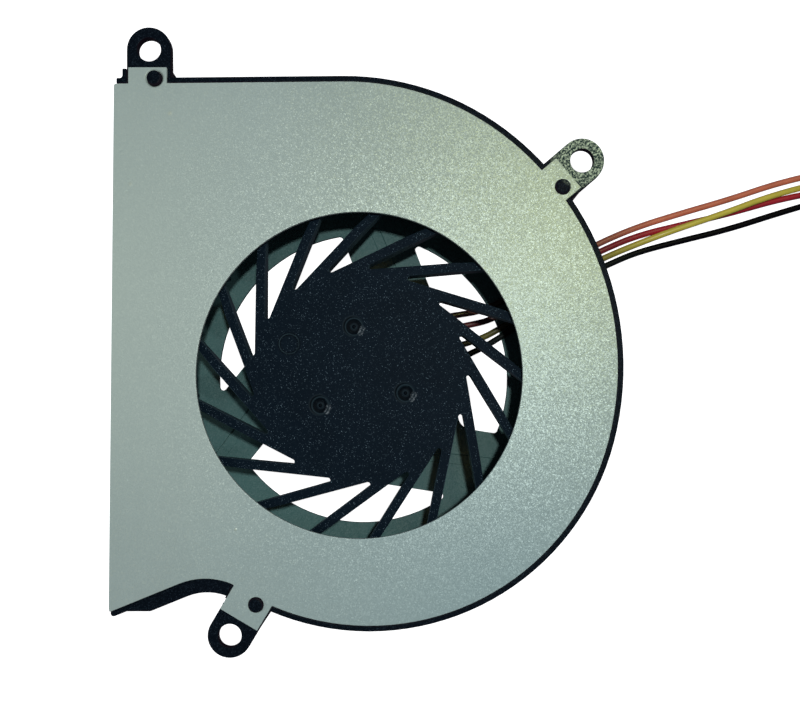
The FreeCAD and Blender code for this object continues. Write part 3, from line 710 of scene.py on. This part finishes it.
class Workshop:
    """Calls that shape a piece with Blender's own operators."""

    MERGE_MM = 0.002
    EDGE_ANGLE = math.radians(32)
    FLAT_ANGLE = math.radians(0.3)
    FLAT_WEIGHT = 100

    @staticmethod
    def only(piece: bpy.types.Object) -> None:
        """Select one piece alone and make it active.

        Args:
            piece: The piece to select.
        """
        bpy.ops.object.select_all(action="DESELECT")
        piece.select_set(True)
        bpy.context.view_layer.objects.active = piece

    @classmethod
    def rounded_copy(cls, node: bpy.types.Object, name: str, radius_mm: float,
                     segments: int = 2) -> bpy.types.Object:
        """Copy a CAD node, clean its mesh and round its edges.

        Args:
            node: The CAD node's object.
            name: The new piece's name.
            radius_mm: Width of the rounding in millimetres.
            segments: Steps across the rounding.

        Returns:
            The new piece.
        """
        piece = bpy.data.objects.new(name, node.data.copy())
        bpy.context.scene.collection.objects.link(piece)
        cls.only(piece)
        bpy.ops.object.mode_set(mode="EDIT")
        bpy.ops.mesh.select_all(action="SELECT")
        bpy.ops.mesh.remove_doubles(threshold=cls.MERGE_MM * MM)
        bpy.ops.object.mode_set(mode="OBJECT")
        bevel = piece.modifiers.new("rounding", "BEVEL")
        bevel.width = radius_mm * MM
        bevel.segments = segments
        bevel.limit_method = "ANGLE"
        bevel.angle_limit = cls.EDGE_ANGLE
        bevel.use_clamp_overlap = False
        bevel.loop_slide = False
        bpy.ops.object.modifier_apply(modifier=bevel.name)
        bpy.ops.object.mode_set(mode="EDIT")
        bpy.ops.mesh.select_all(action="SELECT")
        bpy.ops.mesh.dissolve_limited(angle_limit=cls.FLAT_ANGLE)
        bpy.ops.object.mode_set(mode="OBJECT")
        bpy.ops.object.shade_smooth_by_angle(angle=cls.EDGE_ANGLE)
        flatten = piece.modifiers.new("flat_faces", "WEIGHTED_NORMAL")
        flatten.mode = "FACE_AREA"
        flatten.weight = cls.FLAT_WEIGHT
        flatten.keep_sharp = True
        bpy.ops.object.modifier_apply(modifier=flatten.name)
        return piece


@dataclass
class Lead:
    """One wire of the lead, laid as a smooth cord from its soldered joint to the connector."""

    node: str
    slot: str
    finish: Sleeve
    length_mm: float
    route: tuple[Point, ...]
    diameter_mm: float = 0.85
    order: int = 3
    steps: int = 12
    rim_steps: int = 5

    def cord(self) -> bpy.types.Object:
        """Lay the wire's curve along its route.

        Returns:
            The curve's object.
        """
        curve = bpy.data.curves.new(f"{self.node}_line", "CURVE")
        curve.dimensions = "3D"
        curve.resolution_u = self.steps
        curve.bevel_depth = self.diameter_mm / 2 * MM
        curve.bevel_resolution = self.rim_steps
        curve.use_fill_caps = True
        spline = curve.splines.new("NURBS")
        spline.points.add(len(self.route) - 1)
        for point, place in zip(spline.points, self.route):
            point.co = (*metres(place), 1.0)
        spline.order_u = self.order
        spline.use_endpoint_u = True
        piece = bpy.data.objects.new(f"{self.node}_cord", curve)
        bpy.context.scene.collection.objects.link(piece)
        curve.materials.append(self.finish.make())
        return piece

    def build(self, connector: list[bpy.types.Object]) -> bpy.types.Object:
        """Args:
            connector: The pieces on the wire's far end; not used.

        Returns:
            The wire's curve.
        """
        piece = self.cord()
        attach(piece, "frame")
        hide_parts(self.node)
        return piece


@dataclass
class WireLead:
    """The four wires. Each route's points are in millimetres, from the board to the connector."""

    wires: tuple[Lead, ...] = (
        Lead("orange_wire", "orange_sleeve", Sleeve("orange_sleeve", (1.0, 0.27, 0.14), shine=0.7), 82.1, (
            (8.2, 7.9, 1.83), (12.6, 8.7, 1.8), (17.2, 9.5, 1.06), (23.0, 12.9, 1.06),
            (29.19, 16.8, 1.06), (33.0, 18.95, 0.82), (38.4, 21.3, 0.44), (44.9, 23.3, 0.44),
            (51.5, 25.2, 0.44), (58.0, 27.4, 0.44), (64.4, 28.9, 0.44), (71.2, 28.65, 0.44),
            (77.0, 26.2, 0.6), (81.48, 23.07, 1.6), (83.78, 21.15, 1.6))),
        Lead("red_wire", "red_sleeve", Sleeve("red_sleeve", (0.62, 0.025, 0.045)), 78.9, (
            (9.6, 6.4, 1.83), (13.9, 7.2, 1.8), (18.2, 8.2, 1.06), (23.8, 11.7, 1.06),
            (29.69, 15.93, 1.06), (33.4, 17.95, 0.82), (38.6, 20.15, 0.44), (44.9, 21.65, 0.44),
            (51.5, 23.2, 0.44), (58.1, 25.1, 0.44), (64.55, 26.35, 0.44), (70.65, 26.2, 0.44),
            (75.6, 24.1, 0.6), (79.87, 21.16, 1.6), (82.17, 19.23, 1.6))),
        Lead("yellow_wire", "yellow_sleeve", Sleeve("yellow_sleeve", (1.0, 0.84, 0.1), shine=0.7), 80.3, (
            (10.4, 3.8, 1.83), (14.6, 4.75, 1.8), (18.9, 6.7, 1.06), (24.5, 10.7, 1.06),
            (30.19, 15.07, 1.06), (33.8, 16.95, 0.82), (38.8, 19.05, 0.44), (43.6, 20.75, 1.42),
            (50.2, 22.95, 1.46), (56.5, 25.35, 1.42), (64.45, 27.6, 0.44), (70.95, 27.4, 0.44),
            (76.3, 25.15, 0.6), (80.67, 22.11, 1.6), (82.97, 20.19, 1.6))),
        Lead("black_wire", "black_sleeve", Sleeve("black_sleeve", (0.003, 0.003, 0.005), shine=0.1), 77.9, (
            (11.0, 1.7, 1.83), (15.1, 3.4, 1.8), (19.5, 5.9, 1.06), (25.2, 10.1, 1.06),
            (30.69, 14.2, 1.06), (34.3, 15.95, 0.82), (38.4, 17.75, 0.44), (44.6, 19.35, 0.44),
            (51.2, 20.95, 0.44), (58.2, 23.2, 0.44), (64.65, 25.1, 0.44), (70.4, 24.95, 0.44),
            (74.9, 23.05, 0.6), (79.07, 20.2, 1.6), (81.37, 18.27, 1.6))),
    )

    def build(self, nodes: dict[str, bpy.types.Object]) -> list[bpy.types.Object]:
        """Lay all four wires, with the connector on their far end."""
        plug = [nodes["connector_housing"], nodes["connector_terminals"]]
        return [wire.build(plug) for wire in self.wires]


@dataclass
class Shell:
    """The housing, its two sheets and the impeller, as copies with rounded edges."""

    cover_zinc: ZincSheet = ZincSheet(
        "zinc_cover", (0.64, 0.785, 0.72), (0.575, 0.71, 0.655), (0.9, 0.9, 0.55),
        dents=(
            Dent((-29.38, 23.4, 11.0), 0.4, 0.05), Dent((-29.1, 24.3, 11.0), 0.35, -0.05),
            Dent((-24.04, 33.3, 11.0), 0.4, -0.03), Dent((-27.3, 27.1, 11.0), 0.9, 0.03),
            Dent((-30.3, 28.6, 11.0), 0.2, 0.05), Dent((-29.2, -13.2, 11.0), 0.3, 0.04),
            Dent((-15.7, -19.6, 11.0), 0.25, -0.05), Dent((-18.6, 13.3, 11.0), 0.25, 0.05)),
        # Lighter towards the left; a yellow painted sheen at the upper right; tealer and darker towards the
        # bottom.
        painted_light_and_tints=(
            ColourPatch((-34.0, 12.0, 11.0), 40.0, 0.9, (0.76, 0.90, 0.78)),
            ColourPatch((38.0, 22.0, 11.0), 52.0, 0.9, (0.60, 0.70, 0.49)),
            ColourPatch((22.0, -34.0, 11.0), 48.0, 1.0, (0.46, 0.64, 0.63))),
        sheens=(Sheen((38.0, 24.0, 11.0), 52.0, 0.1),))
    # The base plate is the same galvanised sheet as the cover; its much darker colours are painted shade for
    # the well under the cover.
    shaded_base_zinc: ZincSheet = ZincSheet(
        "zinc_base", (0.076, 0.195, 0.185), (0.048, 0.13, 0.124), (0.16, 0.30, 0.26),
        mottle=0.4, metallic=0.0, roughness=0.55,
        # Painted light, lighter at the lower left, and painted shade, darker at the right.
        painted_light_and_tints=(
            ColourPatch((-10.0, -16.0, 1.0), 16.0, 0.9, (0.11, 0.26, 0.245)),
            ColourPatch((19.0, -8.0, 1.0), 12.0, 0.8, (0.05, 0.14, 0.122))))
    housing_black: MouldedPlastic = MouldedPlastic(
        # The third colour is the painted glints' colour.
        "black_plastic", (0.004, 0.008, 0.014), (0.04, 0.065, 0.09),
        grain_mm=0.08, roughness=0.34, shine=0.04,
        # Painted reflection of the glare lamp on the right ear.
        highlight_patches=(Spot((28.47, 27.48, 10.5), 4.2),))
    impeller_black: MouldedPlastic = MouldedPlastic(
        # The third colour is the painted glints' colour.
        "impeller_plastic", (0.0065, 0.0155, 0.026), (0.3, 0.44, 0.52),
        # The impeller's wall colour is painted light, lighter than its tops.
        grain_mm=0.065, glint_rarity=70.0, roughness=0.38, shine=0.02, walls=(0.07, 0.12, 0.145),
        # Colours of the painted highlights at the dimples.
        highlight_colour=(0.26, 0.30, 0.32), highlight_under=(0.022, 0.036, 0.046), sparkle_mm=0.25,
        # Painted shade inside the three dimples.
        smooth=(
            Spot((-0.85, 6.33, 10.2), 1.4), Spot((-5.15, -3.75, 10.2), 1.4),
            Spot((5.75, -2.17, 10.2), 1.4)),
        # Painted shade round the gate mark.
        pressed=(Spot((-9.0, 4.05, 10.4), 1.25),),
        # Painted highlight crescents beside the dimples.
        highlight_patches=(
            Spot((0.3, 6.0, 10.3), 0.5), Spot((-4.0, -4.08, 10.3), 0.5),
            Spot((6.9, -2.5, 10.3), 0.5), Spot((0.1, 5.5, 10.3), 0.45),
            Spot((-4.2, -4.58, 10.3), 0.45), Spot((6.7, -3.0, 10.3), 0.45)),
        # Painted highlights: lighter rims round the dimples and their nubs.
        rim_highlights=(
            Spot((-0.71, 6.26, 10.1), 0.42), Spot((-5.01, -3.82, 10.1), 0.42),
            Spot((5.89, -2.24, 10.1), 0.42), Spot((-0.85, 6.33, 10.4), 1.3),
            Spot((-5.15, -3.75, 10.4), 1.3), Spot((5.75, -2.17, 10.4), 1.3)))
    moulded_round_mm: float = 0.14
    sheet_round_mm: float = 0.07
    impeller_round_mm: float = 0.1

    def build(self, nodes: dict[str, bpy.types.Object]) -> list[bpy.types.Object]:
        """Make the four rounded pieces.

        Args:
            nodes: The CAD nodes by name.

        Returns:
            The pieces.
        """
        plan = (
            ("housing", "frame", "black_plastic", self.housing_black, self.moulded_round_mm),
            ("top_cover", "frame", "galvanised_sheet", self.cover_zinc, self.sheet_round_mm),
            ("base_plate", "frame", "galvanised_sheet", self.shaded_base_zinc, self.sheet_round_mm),
            ("impeller", "rotor", "impeller_plastic", self.impeller_black, self.impeller_round_mm),
        )
        made = []
        for node, body, slot, finish, radius in plan:
            piece = Workshop.rounded_copy(nodes[node], f"{node}_rounded", radius)
            piece.data.materials.clear()
            piece.data.materials.append(finish.make())
            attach(piece, body)
            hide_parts(node)
            made.append(piece)
        return made


@dataclass
class InnerParts:
    """The nodes that keep their CAD form, with a finish for each material slot."""

    finishes: dict[str, Any] = field(default_factory=lambda: {
        "brass": WorkedMetal("brass", (0.72, 0.53, 0.24), Grain.SPUN, 0.28),
        "bronze": WorkedMetal("bronze", (0.42, 0.28, 0.15), Grain.EVEN, 0.45),
        "laminations": WorkedMetal("laminations", (0.4, 0.4, 0.42), Grain.ROLLED, 0.35),
        "yoke_steel": WorkedMetal("yoke_steel", (0.5, 0.5, 0.52), Grain.SPUN, 0.3),
        "shaft_steel": WorkedMetal("shaft_steel", (0.66, 0.66, 0.68), Grain.SPUN, 0.18),
        "solder": WorkedMetal("solder", (0.68, 0.68, 0.7), Grain.EVEN, 0.22, 0.4),
        "terminal_metal": WorkedMetal("terminal_metal", (0.68, 0.6, 0.42), Grain.ROLLED, 0.3),
        "nylon": PlainPlastic("nylon", (0.78, 0.76, 0.7), 0.42),
        "board": PlainPlastic("board", (0.03, 0.16, 0.06), 0.3, 1.2),
        "chip_plastic": PlainPlastic("chip_plastic", (0.02, 0.02, 0.022), 0.5, 0.2),
        "ceramic": PlainPlastic("ceramic", (0.5, 0.38, 0.26), 0.5, 0.3),
        "magnet": PlainPlastic("magnet", (0.07, 0.07, 0.075), 0.6, 0.3),
        "connector_plastic": PlainPlastic("connector_plastic", (0.72, 0.69, 0.58), 0.38, 1.0),
        "copper_winding": WoundCopper("copper_winding", (0.72, 0.3, 0.12)),
    })

    def build(self, nodes: dict[str, bpy.types.Object], slots: dict[str, str]) -> list[bpy.types.Object]:
        """Dress every node whose slot is in the list of finishes.

        Args:
            nodes: The CAD nodes by name.
            slots: Each node's material slot.

        Returns:
            The dressed nodes.
        """
        made = {slot: finish.make() for slot, finish in self.finishes.items()}
        dressed = []
        for name, node in nodes.items():
            slot = slots[name]
            if slot in made:
                node.data.materials.clear()
                node.data.materials.append(made[slot])
                dressed.append(node)
        return dressed


@dataclass(frozen=True)
class Lamp:
    """A round lamp that points at the fan. One that isn't soft shows in glossy surfaces alone."""

    name: str
    place_mm: Point
    radius_mm: float
    power: float
    colour: Colour
    soft: bool = True

    def hang(self) -> bpy.types.Object:
        """Hang the lamp.

        Returns:
            The lamp.
        """
        light = bpy.data.lights.new(self.name, "AREA")
        light.shape = "DISK"
        light.size = 2 * self.radius_mm * MM
        light.energy = self.power
        light.color = self.colour
        lamp = bpy.data.objects.new(self.name, light)
        bpy.context.scene.collection.objects.link(lamp)
        lamp.location = metres(self.place_mm)
        lamp.rotation_euler = (-metres(self.place_mm)).to_track_quat("-Z", "Y").to_euler()
        lamp.visible_diffuse = self.soft
        return lamp


@dataclass
class Studio:
    """Floor, lamps and the camera of the photograph."""

    floor_half_mm: float = 1200.0
    floor_drop_mm: float = 0.02
    floor_tone: float = 0.9
    floor_glow: float = 1.0
    lamps: tuple[Lamp, ...] = (
        Lamp("key_light", (25.0, 19.0, 207.0), 5.2, 0.15, (0.95, 1.0, 1.0)),
        Lamp("glare_light", (95.0, 98.0, 261.0), 28.0, 0.08, (1.0, 1.0, 0.35), soft=False),
        Lamp("side_light", (-230.0, -20.0, 130.0), 18.0, 0.06, (0.9, 0.96, 1.0)))
    sky: Colour = (0.40, 0.38, 0.47)
    sky_strength: float = 0.2
    camera_place_mm: Point = (5.7, -4.4, 111.0)
    lens: float = 35.4
    sensor: float = 36.0
    shift: tuple[float, float] = (-0.005, 0.073)
    near_mm: float = 1.0

    def floor(self) -> bpy.types.Object:
        """Lay a pale floor that glows a little, as a light table does.

        Returns:
            The floor.
        """
        bpy.ops.object.select_all(action="DESELECT")
        bpy.ops.mesh.primitive_plane_add(size=2 * self.floor_half_mm * MM,
                                         location=(0, 0, -self.floor_drop_mm * MM))
        floor = bpy.context.object
        floor.name = "floor"
        bench = NodeBench("pale_floor")
        floor.data.materials.append(bench.finish(
            base_color=(self.floor_tone,) * 3, roughness=self.floor_tone,
            emission_color=(1.0, 1.0, 1.0), emission_strength=self.floor_glow))
        floor.visible_glossy = False
        floor.visible_diffuse = False
        return floor

    def world(self) -> None:
        """Fill the room with even light."""
        world = bpy.data.worlds.new("room")
        bpy.context.scene.world = world
        world.use_nodes = True
        back = world.node_tree.nodes["Background"]
        back.inputs["Color"].default_value = (*self.sky, 1.0)
        back.inputs["Strength"].default_value = self.sky_strength

    def camera(self) -> bpy.types.Object:
        """Set the camera over the fan, looking straight down.

        Returns:
            The camera.
        """
        data = bpy.data.cameras.new("camera")
        data.lens = self.lens
        data.sensor_width = self.sensor
        data.shift_x, data.shift_y = self.shift
        data.clip_start = self.near_mm * MM
        camera = bpy.data.objects.new("camera", data)
        bpy.context.scene.collection.objects.link(camera)
        camera.location = metres(self.camera_place_mm)
        bpy.context.scene.camera = camera
        return camera

    def build(self) -> None:
        """Set up the whole studio."""
        self.floor()
        self.world()
        for lamp in self.lamps:
            lamp.hang()
        self.camera()
        bpy.context.scene.view_settings.view_transform = "Standard"


def main() -> None:
    """Build the dressed fan and its studio in order."""
    logging.basicConfig(level=logging.INFO, format="%(name)s: %(message)s")
    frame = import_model()
    nodes = frame["nodes"]
    slots = {part["node"]: part["material_slot"] for part in frame["record"]["subparts"]}
    Studio().build()
    for piece in WireLead().build(nodes) + InnerParts().build(nodes, slots) + Shell().build(nodes):
        LOG.info("piece %s", piece.name)


if __name__ == "__main__":
    main()
